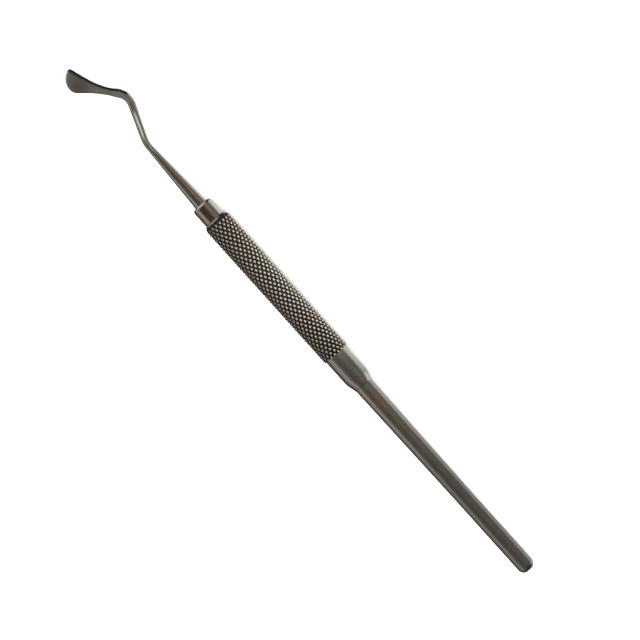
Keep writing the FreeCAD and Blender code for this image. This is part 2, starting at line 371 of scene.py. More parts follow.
# %% The centre line of the shank and blade
FIRST_BEND_DISTANCE = 20.1 * MM
FIRST_BEND_ANGLE = math.radians(22.3)
FIRST_BEND_RADIUS = 7.2 * MM
SECOND_BEND_DISTANCE = 12.5 * MM
SECOND_BEND_ANGLE = math.radians(60.7)
SECOND_BEND_RADIUS = 4.1 * MM
BLADE_LENGTH = 15.85 * MM
BLADE_SWEEP_RADIUS = 103 * MM
END_RADIUS = 4.08 * MM
END_SKEW = 1.53 * MM

first_tangent = FIRST_BEND_RADIUS * math.tan(FIRST_BEND_ANGLE / 2)
second_tangent = SECOND_BEND_RADIUS * math.tan(SECOND_BEND_ANGLE / 2)
LINE = [
    (FIRST_BEND_DISTANCE - first_tangent, 0),
    (FIRST_BEND_RADIUS * FIRST_BEND_ANGLE, 1 / FIRST_BEND_RADIUS),
    (SECOND_BEND_DISTANCE - first_tangent - second_tangent, 0),
    (SECOND_BEND_RADIUS * SECOND_BEND_ANGLE, -1 / SECOND_BEND_RADIUS),
    (BLADE_LENGTH - second_tangent + END_RADIUS, 1 / BLADE_SWEEP_RADIUS),
]
FIRST_BEND_START = LINE[0][0]
SECOND_BEND_START = sum(length for length, _ in LINE[:3])
SECOND_BEND_END = sum(length for length, _ in LINE[:4])
CORNER = SECOND_BEND_START + second_tangent


def along(distance):
    """Place and heading on the centre line: x from the collar's face, offset from the axis, angle."""
    x, offset, heading = 0.0, 0.0, 0.0
    for length, curvature in LINE:
        run = min(distance, length)
        turn = curvature * run
        if curvature:
            x += (math.sin(heading + turn) - math.sin(heading)) / curvature
            offset += (math.cos(heading) - math.cos(heading + turn)) / curvature
        else:
            x += run * math.cos(heading)
            offset += run * math.sin(heading)
        heading += turn
        distance -= run
    return x, offset, heading


print("the shank and blade are", round((CORNER + BLADE_LENGTH) / MM, 1), "mm long along the line")

# %% [markdown]
# The instrument lies on its knurl and on the outside of its second bend. So the plane of the bends isn't
# level: it is rolled about the handle's axis until the bend touches the table.

# %% Roll of the bend plane
SHANK_BASE_RADIUS = 1.76 * MM
SHANK_SLIM_RADIUS = 0.865 * MM
SHANK_BEND_RADIUS = 0.975 * MM
# The line is furthest from the axis where the second bend has undone the first.
outermost = along(SECOND_BEND_START + SECOND_BEND_RADIUS * FIRST_BEND_ANGLE)[1]
ROLL = math.asin((AXIS_HEIGHT - SHANK_BEND_RADIUS) / outermost)
SIDE = Vector((0, -math.cos(ROLL), -math.sin(ROLL)))
FACE_UP = Vector((0, -math.sin(ROLL), math.cos(ROLL)))
print("the bends are rolled by", round(math.degrees(ROLL), 2), "degrees")

# %% [markdown]
# The shank is a plain taper down to the first bend. From the middle of the second bend on, the bar is
# forged flat and ground to a fan. Its sections could be drawn by hand at a few places, but a formula
# gives one at any distance, however close the rings stand. It works out half the width, half the
# thickness, and how far the section has gone from round to flat.

# %% Size of the section along the line
BLADE_ROOT_HALF_WIDTH = 1.075 * MM
FLAT_START_LENGTH = 3.0 * MM
UPPER_SIDE_SLANT = 0.38 * MM
NECK_LENGTH = 4.1 * MM
NECK_HALF_WIDTH = 0.91 * MM
NECK_HALF_THICKNESS = 0.625 * MM
END_HALF_THICKNESS = 0.3 * MM
FLARE_RADIUS = 22.2 * MM
FLARE_ANGLE = math.radians(14.9)
BEND_MIDDLE = (SECOND_BEND_START + SECOND_BEND_END) / 2
NECK = CORNER + NECK_LENGTH
TIP = CORNER + BLADE_LENGTH


def flare(run):
    """Half the blade's gain in width past the neck: an arc, then its tangent."""
    arc_run = FLARE_RADIUS * math.sin(FLARE_ANGLE)
    bend = min(max(run, 0), arc_run)
    straight = max(run - arc_run, 0)
    gain = FLARE_RADIUS - math.sqrt(FLARE_RADIUS ** 2 - bend ** 2)
    return gain + straight * math.tan(FLARE_ANGLE)


def blend(low, high, share):
    """Between two values, with a smooth start and end as the share goes from 0 to 1."""
    share = min(max(share, 0), 1)
    return low + (high - low) * share * share * (3 - 2 * share)


def section_size(distance):
    """Half width, half thickness and flatness (0 round, 1 flat) at a distance."""
    if distance < FIRST_BEND_START:
        share = distance / FIRST_BEND_START
        radius = SHANK_BASE_RADIUS + (SHANK_SLIM_RADIUS - SHANK_BASE_RADIUS) * share
        return radius, radius, 0
    if distance < SECOND_BEND_START:
        share = (distance - FIRST_BEND_START) / (SECOND_BEND_START - FIRST_BEND_START)
        radius = SHANK_SLIM_RADIUS + (SHANK_BEND_RADIUS - SHANK_SLIM_RADIUS) * share * share
        return radius, radius, 0
    bend_share = (distance - SECOND_BEND_START) / (SECOND_BEND_END - SECOND_BEND_START)
    neck_share = (distance - SECOND_BEND_END) / (NECK - SECOND_BEND_END)
    width = blend(SHANK_BEND_RADIUS, BLADE_ROOT_HALF_WIDTH, bend_share)
    width += blend(0, NECK_HALF_WIDTH - BLADE_ROOT_HALF_WIDTH, neck_share) + flare(distance - NECK)
    past_middle = distance - BEND_MIDDLE
    thickness = blend(SHANK_BEND_RADIUS, NECK_HALF_THICKNESS, past_middle / (NECK - BEND_MIDDLE))
    if distance > NECK:
        reach = (distance - NECK) / (TIP - NECK)
        thickness = NECK_HALF_THICKNESS + (END_HALF_THICKNESS - NECK_HALF_THICKNESS) * reach
    return width, thickness, blend(0, 1, past_middle / FLAT_START_LENGTH)


print("half width at the blade's end", round(section_size(TIP)[0] / MM, 2), "mm")

# %% [markdown]
# A ring has the same number of corners everywhere. In the shank they lie on a circle. In the blade they
# lie on a thin rectangle, crowded towards its sides, where the rounded end needs them. Between the two,
# each corner slides from one place to the other.

# %% One ring of the section
FACE_STEPS = 12
EDGE_STEPS = 8


def ring_places():
    """(round, flat) places of each corner of a ring, as pairs of (across, up), from -1 to 1."""
    places = []
    for side, steps in enumerate((FACE_STEPS, EDGE_STEPS, FACE_STEPS, EDGE_STEPS)):
        for step in range(steps):
            angle = math.pi / 2 * (side + 0.5 + step / steps)
            slide = math.cos(math.pi * step / steps)
            flat = ((slide, 1), (-1, slide), (-slide, -1), (1, -slide))[side]
            places.append(((math.cos(angle), math.sin(angle)), flat))
    return places


RING = ring_places()


def section_point(distance, place):
    """(across, up) of one corner at a distance, in metres. The blade's upper side leans inwards."""
    half_width, half_thickness, flatness = section_size(distance)
    (round_across, round_up), (flat_across, flat_up) = place
    across = round_across + (flat_across - round_across) * flatness
    up = round_up + (flat_up - round_up) * flatness
    slant = UPPER_SIDE_SLANT * flatness * (1 + across) * (1 + up) / 4
    return across * half_width - slant, up * half_thickness


def on_line(distance, across, up):
    """A point beside the centre line, in the row's frame."""
    x, offset, heading = along(distance)
    sideways = SIDE * math.cos(heading) - AXIS * math.sin(heading)
    return AXIS_POINT + AXIS * (COLLAR_FRONT + x) + SIDE * offset + sideways * across + FACE_UP * up


print("a ring has", len(RING), "corners")

# %% [markdown]
# The blade's end is an arc, set off to one side, and both faces are ground down to a thin edge along it.
# So the rings stop being straight near the end. Each one leans further towards the arc, and the last
# one lies on it. The bevel is a limit on the height: the nearer a corner is to the arc, the lower it is.

# %% The rounded, bevelled end
END_LAND = 0.07 * MM
END_BEVEL_SLOPE = math.tan(math.radians(30))
END_REACH = 8 * MM
END_GAPS = [8, 7, 6, 5, 4.1, 3.3, 2.6, 2, 1.5, 1.1, 0.8, 0.58, 0.44, 0.36, 0.26, 0.16, 0.07, 0]
UPPER_CORNER_ROUNDING = 0.65 * MM
LOWER_CORNER_ROUNDING = 0.6 * MM
ARC_TRIES = 30


def end_inset(distance, across):
    """How far inside the end's arc a place on the blade is."""
    ahead = max(distance - (TIP - END_RADIUS), 0)
    return END_RADIUS - math.hypot(ahead, across - END_SKEW)


def arc_distance(place):
    """Where a ring's corner meets the end's arc, found step by step, with the outline's corners rounded."""
    distance = TIP
    for _ in range(ARC_TRIES):
        across = section_point(distance, place)[0]
        ahead = math.sqrt(max(END_RADIUS ** 2 - (across - END_SKEW) ** 2, 0))
        distance = (distance + TIP - END_RADIUS + ahead) / 2
    half_width = section_size(distance)[0]
    rounding = UPPER_CORNER_ROUNDING if across > 0 else LOWER_CORNER_ROUNDING
    into = max(abs(across) - half_width + rounding, 0)
    return distance - rounding + math.sqrt(max(rounding ** 2 - into ** 2, 0))


ARC = [arc_distance(place) for place in RING]


def end_ring(gap):
    """The ring that is a gap short of the blade's end."""
    lean = (1 - gap / END_REACH) ** 2
    points = []
    for place, arc in zip(RING, ARC):
        distance = TIP - gap - (TIP - arc) * lean
        across, up = section_point(distance, place)
        limit = END_LAND + max(end_inset(distance, across), 0) * END_BEVEL_SLOPE
        points.append(on_line(distance, across, max(-limit, min(limit, up))))
    return points


def nose_ring():
    """The last ring, where both faces meet."""
    return [on_line(arc, section_point(arc, place)[0], 0) for place, arc in zip(RING, ARC)]


print("the blade's end has", len(END_GAPS) + 1, "rings")

# %% [markdown]
# The list of rings starts with two for the hidden tang. Then come rings square to the line at an even
# spacing, and last the leaning ones of the blade's end. Those stand much closer together, because the
# shape changes fastest there.

# %% All the rings, from the tang's end to the blade's
TANG_RADIUS = 1.2 * MM
RING_SPACING = 0.45 * MM


def round_ring(distance, radius):
    """A round ring of any size."""
    return [on_line(distance, across * radius, up * radius) for (across, up), _ in RING]


def straight_ring(distance):
    """A ring square to the centre line."""
    return [on_line(distance, *section_point(distance, place)) for place in RING]


straight_length = TIP - END_REACH
straight_count = math.ceil(straight_length / RING_SPACING)
rings = [round_ring(TANG_REAR - COLLAR_FRONT, TANG_RADIUS), round_ring(0, TANG_RADIUS)]
FIRST_STRAIGHT_RING = len(rings)
rings += [straight_ring(straight_length * step / straight_count) for step in range(straight_count)]
rings += [end_ring(gap * MM) for gap in END_GAPS]
rings.append(nose_ring())
print("the working end has", len(rings), "rings")

# %% [markdown]
# Extruding a circle one step per ring gives a straight tube. Every corner of the tube then knows its
# ring from its height and its place in the ring from its angle, and moves to where it belongs. On the
# way it notes how far it belongs to the blade's face, for the ground finish, and to its rim, which is
# painted near black as painted shade further down.

# %% Extrude the tube and shape it
FACE_FADE = 2.6 * MM
RIM_FADE = 0.6 * MM
RIM_SPILL = 0.5 * MM
RIM_END_SPILL = 0.2 * MM
blade = bmesh.new()
on_face = blade.verts.layers.float.new("blade_face")
on_rim = blade.verts.layers.float.new("blade_rim")
bmesh.ops.create_circle(blade, segments=len(RING), radius=1)
edges = blade.edges[:]
for _ in rings[1:]:
    made = bmesh.ops.extrude_edge_only(blade, edges=edges)["geom"]
    new_verts = [item for item in made if isinstance(item, bmesh.types.BMVert)]
    bmesh.ops.translate(blade, verts=new_verts, vec=(0, 0, 1))
    edges = [item for item in made if isinstance(item, bmesh.types.BMEdge)
             and all(vert in new_verts for vert in item.verts)]

home = {}
for vert in blade.verts:
    corner = round(math.atan2(vert.co.y, vert.co.x) / math.tau * len(RING)) % len(RING)
    home[vert] = (round(vert.co.z), corner)
bmesh.ops.contextual_create(blade, geom=[vert for vert, (ring, _) in home.items() if ring == 0])
for vert, (ring, corner) in home.items():
    vert.co = rings[ring][corner]
    reach = min(max(ring - FIRST_STRAIGHT_RING, 0) / straight_count, 1)
    past_middle = straight_length * reach - BEND_MIDDLE
    if abs(RING[corner][1][1]) == 1:
        vert[on_face] = blend(0, 1, 1 + past_middle / FACE_FADE)
    slide, height = RING[corner][1]
    # blade_rim marks where the rim is painted near black, as painted shade.
    if slide == 1 or height == 1:
        inside = (1 - slide) * section_size(past_middle + BEND_MIDDLE)[0]
        spill = blend(RIM_SPILL, RIM_END_SPILL, past_middle / (TIP - BEND_MIDDLE))
        vert[on_rim] = blend(0, 1, past_middle / RIM_FADE) * blend(1, 0, inside / spill)
print("the working end has", len(blade.faces), "faces")

# %% [markdown]
# The blade's four long edges are broken with a hair-thin bevel, as a finisher does with a stone. It is
# made last, so that it is equally wide all along. It stops three rings short of the end, where the
# ground edge has to stay thin.

# %% Break the blade's long edges
LONG_EDGE_BEVEL = 0.05 * MM
LONG_EDGE_SEGMENTS = 2
UNBROKEN_RINGS = 3
LONG_EDGES = (0, FACE_STEPS, FACE_STEPS + EDGE_STEPS, 2 * FACE_STEPS + EDGE_STEPS)
flat_from = next(
    ring for ring in range(FIRST_STRAIGHT_RING, len(rings))
    if straight_length * (ring - FIRST_STRAIGHT_RING) / straight_count > BEND_MIDDLE + FLAT_START_LENGTH)
long_edges = []
for edge in blade.edges:
    (ring_a, corner_a), (ring_b, corner_b) = (home[vert] for vert in edge.verts)
    if corner_a == corner_b and corner_a in LONG_EDGES and min(ring_a, ring_b) >= flat_from:
        if max(ring_a, ring_b) < len(rings) - UNBROKEN_RINGS:
            long_edges.append(edge)
soften(blade, long_edges, LONG_EDGE_BEVEL, LONG_EDGE_SEGMENTS)
bmesh.ops.remove_doubles(blade, verts=blade.verts, dist=SEAM_REACH)
working_end = piece(blade, "working_end_skin", "working_end")

# %% [markdown]
# ## Shader tools
#
# A material is a small machine of nodes. Written out node by node it is long and hard to read, so two
# small tools shorten it. The first wraps a socket, so that sums on it can be written as sums.

# %% Sums with sockets
class Value:
    """What comes out of a node. Sums with it add Math nodes."""

    def __init__(self, shader, socket):
        self.shader = shader
        self.socket = socket

    def maths(self, operation, first, second):
        return self.shader.node("ShaderNodeMath", {"operation": operation}, {0: first, 1: second})

    def __add__(self, other):
        return self.maths("ADD", self, other)

    __radd__ = __add__

    def __sub__(self, other):
        return self.maths("SUBTRACT", self, other)

    def __rsub__(self, other):
        return self.maths("SUBTRACT", other, self)

    def __mul__(self, other):
        return self.maths("MULTIPLY", self, other)

    __rmul__ = __mul__


print("sums with a socket make Math nodes")

# %% [markdown]
# The second tool adds any node, with its settings and what goes into its sockets. The nodes that are
# needed most have short names of their own.

# %% Any other node
class Shader:
    """The nodes of one material or world."""

    def __init__(self, tree):
        self.tree = tree
        tree.nodes.clear()

    def node(self, kind, settings=None, inputs=None, out=0):
        """Adds a node, sets it up, feeds its sockets and returns what comes out of it."""
        node = self.tree.nodes.new(kind)
        for name, value in (settings or {}).items():
            if name == "stops":
                self.set_stops(node.color_ramp, value)
            else:
                setattr(node, name, value)
        for name, value in (inputs or {}).items():
            if isinstance(value, Value):
                self.tree.links.new(value.socket, node.inputs[name])
            else:
                node.inputs[name].default_value = value
        return Value(self, node.outputs[out]) if len(node.outputs) else None

    @staticmethod
    def set_stops(ramp, stops):
        """Puts a colour at each place along a ramp."""
        while len(ramp.elements) > 1:
            ramp.elements.remove(ramp.elements[0])
        ramp.elements[0].position = stops[0][0]
        for place, _ in stops[1:]:
            ramp.elements.new(place)
        for element, (_, colour) in zip(ramp.elements, stops):
            element.color = (*colour, 1)

    def smooth_step(self, value, low, high):
        """0 below low, 1 above high and smooth between."""
        return self.node("ShaderNodeMapRange", {"interpolation_type": "SMOOTHSTEP"},
                         {"Value": value, "From Min": low, "From Max": high})

    def mix(self, factor, first, second):
        """A colour between two."""
        return self.node("ShaderNodeMix", {"data_type": "RGBA"},
                         {"Factor": factor, 6: first, 7: second}, out=2)

    def noise(self, place, scale, detail=2.0, out="Fac"):
        """Soft random blotches, about one over the scale apart."""
        return self.node("ShaderNodeTexNoise", {},
                         {"Vector": place, "Scale": scale, "Detail": detail}, out=out)


print("shader tools ready")

# %% [markdown]
# ## Steel
#
# All four pieces are stainless steel, and differ only in how they were finished and handled. Steel has
# almost no colour of its own, so what makes it look real is small: warm and cool patches where it was
# wiped, a faint change of gloss from smudges, and the fine rings that the turning tool left. One recipe
# gives all of that, and each piece adds what is its own.

# %% A recipe for steel
PATCH_SCALE = 160
PATCH_EDGES = (0.35, 0.65)
SMUDGE_SCALE = 520
SMUDGE_STRENGTH = 0.12
TOOL_MARK_SCALE = 5000
TOOL_MARK_STRETCH = 0.02
BUMP_STRENGTH = 0.1


class Steel(Shader):
    """A steel finish in the making: its patches, its roughness and its fine marks."""

    def __init__(self, name, warm, cool, roughness):
        self.material = bpy.data.materials.new(name)
        self.material.use_nodes = True
        super().__init__(self.material.node_tree)
        self.place = self.node("ShaderNodeTexCoord", {}, {}, out="Object")
        patches = self.smooth_step(self.noise(self.place, PATCH_SCALE, 3.0), *PATCH_EDGES)
        self.colour = self.mix(patches, (*warm, 1), (*cool, 1))
        smudges = self.noise(self.place, SMUDGE_SCALE, 4.0)
        self.roughness = roughness + (smudges - 0.5) * SMUDGE_STRENGTH
        stretch = (1, TOOL_MARK_STRETCH, TOOL_MARK_STRETCH)
        rings = self.node("ShaderNodeMapping", {}, {"Vector": self.place, "Scale": stretch})
        self.marks = self.noise(rings, TOOL_MARK_SCALE, 1.0)

    def finish(self, marks_depth):
        """Feeds the shader with what has been made, and returns the material."""
        bump = self.node("ShaderNodeBump", {}, {
            "Height": self.marks, "Strength": BUMP_STRENGTH, "Distance": marks_depth})
        surface = self.node("ShaderNodeBsdfPrincipled", {}, {
            "Base Color": self.colour, "Metallic": 1.0, "Roughness": self.roughness, "Normal": bump})
        self.node("ShaderNodeOutputMaterial", {}, {"Surface": surface})
        return self.material


print("steel recipe ready")

# %% [markdown]
# The collar is the simplest of the four: the plain recipe with nothing added, and the least rough. A
# turned and polished ferrule has next to no marks of its own, so its look is left to what it reflects.

# %% Bright collar
TURNED_MARKS = 0.001 * MM
bright = Steel("bright steel", warm=(0.66, 0.61, 0.56), cool=(0.63, 0.63, 0.56), roughness=0.09)
front_collar.data.materials.append(bright.finish(TURNED_MARKS))
print(bright.material.name, "has", len(bright.material.node_tree.nodes), "nodes")

# %% [markdown]
# The tail is rougher than the rest, because it is held, dropped into trays and scrubbed most. Towards
# its rear end its colour turns darker and it is rougher still, and small stains have bitten in along it.

# %% Satin tail
SATIN_MARKS = 0.002 * MM
DULL_STRETCH = 25 * MM
DULL_STEEL = (0.36, 0.35, 0.33, 1)
DULL_SHARE = 0.75
DULL_ROUGHNESS = 0.05
STAIN = (0.25, 0.22, 0.19, 1)
STAIN_SCALE = 900
STAIN_EDGES = (0.62, 0.72)
STAIN_SHARE = 0.5

satin = Steel("satin steel", warm=(0.63, 0.55, 0.5), cool=(0.54, 0.56, 0.48), roughness=0.2)
along_bar = satin.node("ShaderNodeSeparateXYZ", {}, {0: satin.place}, out="X")
towards_rear = 1 - satin.smooth_step(along_bar, TAIL_END + DULL_STRETCH, GRIP_REAR)
satin.roughness = satin.roughness + towards_rear * DULL_ROUGHNESS
satin.colour = satin.mix(towards_rear * DULL_SHARE, satin.colour, DULL_STEEL)
stains = satin.smooth_step(satin.noise(satin.place, STAIN_SCALE, 5.0), *STAIN_EDGES)
satin.colour = satin.mix(stains * STAIN_SHARE, satin.colour, STAIN)
tail_rod.data.materials.append(satin.finish(SATIN_MARKS))
print(satin.material.name, "has", len(satin.material.node_tree.nodes), "nodes")

# %% [markdown]
# On the working end the shank is polished bright and the blade's two faces are ground matt. Along one
# side of the blade the rim is painted near black, as painted shade for the dark that it reflects. The
# mesh carries both as attributes, blade_face and blade_rim, so the finish and the painted shade follow
# the shape exactly. Near the blade's end a soft patch of the ground face is painted darker, as painted
# shade for its darker reflection there.

# %% Polished shank and ground blade
GROUND_WARM = (0.5, 0.465, 0.47, 1)
GROUND_COOL = (0.44, 0.435, 0.43, 1)
# Painted shade: the darker colour of a soft patch near the blade's end.
FACE_SHADE_STEEL = (0.27, 0.255, 0.24, 1)
# Painted shade: the near-black colour of the blade's rim.
RIM_PAINTED_SHADE = (0.035, 0.03, 0.03, 1)
GROUND_SHARE = 0.9
GROUND_ROUGHNESS = 0.25
RIM_ROUGHNESS = 0.2
CLOUD_SCALE = 260
FACE_SHADE_CENTRE = on_line(CORNER + 12 * MM, -0.9 * MM, 0)
FACE_SHADE_CORE = 0.5 * MM
FACE_SHADE_REACH = 4.5 * MM

polished = Steel("polished steel", warm=(0.66, 0.6, 0.55), cool=(0.62, 0.63, 0.56), roughness=0.17)
face = polished.node("ShaderNodeAttribute", {"attribute_name": "blade_face"}, {}, out="Fac")
polished.roughness = polished.roughness + face * GROUND_ROUGHNESS
from_face_shade = polished.node("ShaderNodeVectorMath", {"operation": "DISTANCE"},
                           {0: polished.place, 1: tuple(FACE_SHADE_CENTRE)}, out="Value")
cloud = polished.smooth_step(polished.noise(polished.place, CLOUD_SCALE), *PATCH_EDGES)
ground = polished.mix(cloud, GROUND_WARM, GROUND_COOL)
# Painted shade: the ground face turns darker towards the patch's centre near the blade's end.
face_shade = 1 - polished.smooth_step(from_face_shade, FACE_SHADE_CORE, FACE_SHADE_REACH)
ground = polished.mix(face_shade, ground, FACE_SHADE_STEEL)
polished.colour = polished.mix(face * GROUND_SHARE, polished.colour, ground)
# Painted shade: the rim is mixed towards near black.
rim = polished.node("ShaderNodeAttribute", {"attribute_name": "blade_rim"}, {}, out="Fac")
polished.colour = polished.mix(rim, polished.colour, RIM_PAINTED_SHADE)
polished.roughness = polished.roughness + rim * RIM_ROUGHNESS
working_end.data.materials.append(polished.finish(TURNED_MARKS))
print(polished.material.name, "has", len(polished.material.node_tree.nodes), "nodes")

# %% [markdown]
# In the knurl the grooves are painted near black, as painted shade for the shadow deep between the
# pyramids and the dark that they reflect. The tops of the pyramids keep the plain steel. How far a place
# is from the handle's axis tells the two apart. The band has no grooves, so the painted shade stops at
# the knurl's rear. On the front chamfer it is painted at about half strength.

# %% Knurled grip
# Painted shade: the near-black colour of the grooves, and how deep and how far it reaches.
GROOVE_SHADE = (0.055, 0.045, 0.034, 1)
GROOVE_SHADE_DEPTH = 0.22 * MM
UNSHADED_DEPTH = 0.08 * MM
GROOVE_SHADE_EDGE = 0.1 * MM
CHAMFER_SHADE_SHARE = 0.45
KNURL_ROUGHNESS = 0.1
GROOVE_SHADE_ROUGHNESS = 0.2

knurled = Steel("knurled steel", warm=(0.63, 0.56, 0.52), cool=(0.57, 0.575, 0.52), roughness=0.18)
off_axis = knurled.node("ShaderNodeMapping", {}, {
    "Vector": knurled.place, "Location": tuple(-AXIS_POINT), "Scale": (0, 1, 1)})
reach = knurled.node("ShaderNodeVectorMath", {"operation": "LENGTH"}, {0: off_axis}, out="Value")
along_bar = knurled.node("ShaderNodeSeparateXYZ", {}, {0: knurled.place}, out="X")
past_rear = knurled.smooth_step(along_bar, KNURL_REAR - GROOVE_SHADE_EDGE, KNURL_REAR)
past_front = knurled.smooth_step(along_bar, KNURL_FRONT, KNURL_FRONT + GROOVE_SHADE_EDGE)
in_knurl = past_rear - past_front
# Painted shade: places nearer the axis than the crests are mixed towards near black.
crests = knurled.smooth_step(reach, KNURL_RADIUS - GROOVE_SHADE_DEPTH, KNURL_RADIUS - UNSHADED_DEPTH)
groove_shade = (1 - crests) * in_knurl + past_front * CHAMFER_SHADE_SHARE
knurled.colour = knurled.mix(groove_shade, knurled.colour, GROOVE_SHADE)
knurled.roughness = knurled.roughness + in_knurl * KNURL_ROUGHNESS + groove_shade * GROOVE_SHADE_ROUGHNESS
knurled_grip.data.materials.append(knurled.finish(TURNED_MARKS))
print(knurled.material.name, "has", len(knurled.material.node_tree.nodes), "nodes")

# %% [markdown]
# ## Camera and floor
#
# A long lens from over a metre away keeps a long thin object free of strong perspective. The camera
# looks nearly square onto the plane of the bends, because that is where the two bends and the shape of
# the blade show best, and it is turned so that the handle runs from corner to corner.

# %% The camera's place
CAMERA_LEAN = math.radians(10)
CAMERA_DISTANCE = 1.3
PICTURE_WIDTH = 156.2 * MM
SENSOR_WIDTH = 36.0
TOWARDS_CAMERA = FACE_UP * math.cos(CAMERA_LEAN) + SIDE * math.sin(CAMERA_LEAN)
PICTURE_SIDE = SIDE * math.cos(CAMERA_LEAN) - FACE_UP * math.sin(CAMERA_LEAN)
HANDLE_ANGLE = math.radians(131.98)
LOOK_AT_LENGTH = 79.55 * MM
LOOK_AT_SIDE = 2.71 * MM
LOOK_AT = AXIS_POINT + AXIS * (TAIL_END + LOOK_AT_LENGTH) + PICTURE_SIDE * LOOK_AT_SIDE
CLIP_START = 0.05
CLIP_END = 20

right = AXIS * math.cos(HANDLE_ANGLE) + PICTURE_SIDE * math.sin(HANDLE_ANGLE)
up = AXIS * math.sin(HANDLE_ANGLE) - PICTURE_SIDE * math.cos(HANDLE_ANGLE)
camera_data = bpy.data.cameras.new("camera")
camera_data.sensor_width = SENSOR_WIDTH
camera_data.lens = SENSOR_WIDTH * CAMERA_DISTANCE / PICTURE_WIDTH
camera_data.clip_start = CLIP_START
camera_data.clip_end = CLIP_END
camera = bpy.data.objects.new("camera", camera_data)
bpy.context.scene.collection.objects.link(camera)
turn = Matrix((right, up, TOWARDS_CAMERA)).transposed()
camera.matrix_world = Matrix.Translation(LOOK_AT + TOWARDS_CAMERA * CAMERA_DISTANCE) @ turn.to_4x4()
bpy.context.scene.camera = camera
print("camera direction", [round(v, 3) for v in TOWARDS_CAMERA], "lens", round(camera_data.lens))

# %% [markdown]
# The instrument lies on plain white paper. The paper is left out of reflections, because a real bright
# floor under polished steel would wash out the stripes that the next part paints.

# %% Floor
FLOOR_REACH = 4
floor_mesh = bmesh.new()
bmesh.ops.create_grid(floor_mesh, x_segments=1, y_segments=1, size=FLOOR_REACH)
floor_data = bpy.data.meshes.new("floor")
floor_mesh.to_mesh(floor_data)
floor_mesh.free()
floor = bpy.data.objects.new("floor", floor_data)
bpy.context.scene.collection.objects.link(floor)
paper = bpy.data.materials.new("white paper")
paper.use_nodes = True
shader = Shader(paper.node_tree)
matt = shader.node("ShaderNodeBsdfDiffuse", {}, {"Color": (0.9, 0.9, 0.9, 1)})
shader.node("ShaderNodeOutputMaterial", {}, {"Surface": matt})
floor_data.materials.append(paper)
floor.visible_glossy = False
print("floor", 2 * FLOOR_REACH, "m wide")

# %% [markdown]
# ## Light
#
# Polished steel shows little but what surrounds it, so the surroundings are the lighting. The handle is
# a cylinder, and a cylinder squeezes the whole room into stripes along it: each stripe comes from one
# angle round the handle. So the room is painted by that angle, as a ramp, and the stripes can be put
# where they belong one by one. Only reflections see the ramp. The paper gets plain even light.

# %% Angles round the handle
def room_angle(shader, place):
    """The angle round the handle's direction as a share: 0 is -180 degrees, 0.5 is straight up."""
    north = shader.node("ShaderNodeSeparateXYZ", {}, {0: place}, out="Y")
    height = shader.node("ShaderNodeSeparateXYZ", {}, {0: place}, out="Z")
    angle = shader.node("ShaderNodeMath", {"operation": "ARCTAN2"}, {0: 0 - north, 1: height})
    return angle * (1 / math.tau) + 0.5


def ramp_place(angle):
    """The same share for an angle in degrees."""
    return (angle + 180) / 360


def stripes(shader, share, bands):
    """A ramp from (angle in degrees, brightness, tint) bands."""
    stops = [(ramp_place(angle), [level * part for part in tint]) for angle, level, tint in bands]
    return shader.node("ShaderNodeValToRGB", {"stops": stops}, {"Fac": share})


print("straight up is at", ramp_place(0), "along a ramp")

# %% [markdown]
# The room is bright below, and dark overhead and at both sides, with one soft band a little to one side
# of the top. Each stop has a tint as well as a brightness. Towards the working end a second ramp takes
# over, because the bent shank and the blade face other ways than the handle does. Straight ahead the
# room is pale, and straight behind the tail it is almost black.

# %% The room
WARM = (1.0, 0.83, 0.66)
SOFT = (1.0, 0.94, 0.88)
GREEN = (1.0, 0.99, 0.88)
PALE = (0.99, 1.0, 0.95)
ROOM = [
    (-180, 0.80, PALE), (-131, 0.80, PALE), (-126, 0.04, SOFT), (-90, 0.04, SOFT), (-70, 0.09, SOFT),
    (-60, 0.14, SOFT), (-50, 0.21, SOFT), (-38, 0.31, SOFT), (-28, 0.41, SOFT), (-18, 0.34, SOFT),
    (-6, 0.16, WARM), (6, 0.08, WARM), (25, 0.06, WARM), (45, 0.075, WARM), (60, 0.12, WARM),
    (72, 0.16, (1.0, 0.9, 0.76)), (88, 0.16, (1.0, 0.95, 0.82)), (101, 0.135, GREEN),
    (112, 0.12, GREEN), (124, 0.2, GREEN), (138, 0.55, PALE), (153, 0.95, PALE),
    (171, 0.80, PALE), (180, 0.80, PALE),
]
AHEAD = [
    (-180, 0.05, SOFT), (-100, 0.05, SOFT), (-70, 0.4, SOFT), (-20, 0.6, SOFT), (40, 0.6, SOFT),
    (80, 0.4, SOFT), (105, 0.05, SOFT), (180, 0.04, SOFT),
]
STRAIGHT_AHEAD = (0.75, 0.73, 0.7, 1)
BEHIND_TAIL = (0.04, 0.04, 0.035, 1)
EVEN_LIGHT = (2, 2, 2, 1)

world = bpy.data.worlds.new("room")
bpy.context.scene.world = world
world.use_nodes = True
shader = Shader(world.node_tree)
direction = shader.node("ShaderNodeTexCoord", {}, {}, out="Generated")
share = room_angle(shader, direction)
east = shader.node("ShaderNodeSeparateXYZ", {}, {0: direction}, out="X")
room = stripes(shader, share, ROOM)
room = shader.mix(shader.smooth_step(east, 0.3, 0.5), room, stripes(shader, share, AHEAD))
room = shader.mix(shader.smooth_step(east, 0.8, 0.9), room, STRAIGHT_AHEAD)
room = shader.mix(1 - shader.smooth_step(east, -0.8, -0.6), room, BEHIND_TAIL)
reflected = shader.node("ShaderNodeLightPath", {}, {}, out="Is Glossy Ray")
colour = shader.mix(reflected, EVEN_LIGHT, room)
background = shader.node("ShaderNodeBackground", {}, {"Color": colour, "Strength": 1.0})
shader.node("ShaderNodeOutputWorld", {}, {"Surface": background})
print("the room has", len(ROOM), "stops round the handle and", len(AHEAD), "ahead of it")

# %% [markdown]
# Some lights are near enough to matter for one part of the instrument only, so they can't be in the
# room, which is endlessly far away. They are curved cards, bent round the handle. One is wrapped round
# the grip and puts a glint on every pyramid. Others hang over the collar and beside and below the
# shank, and a large one stands in front and dims the long rim of light towards the tail.

# %% Curved cards
CARD_STEPS = 32


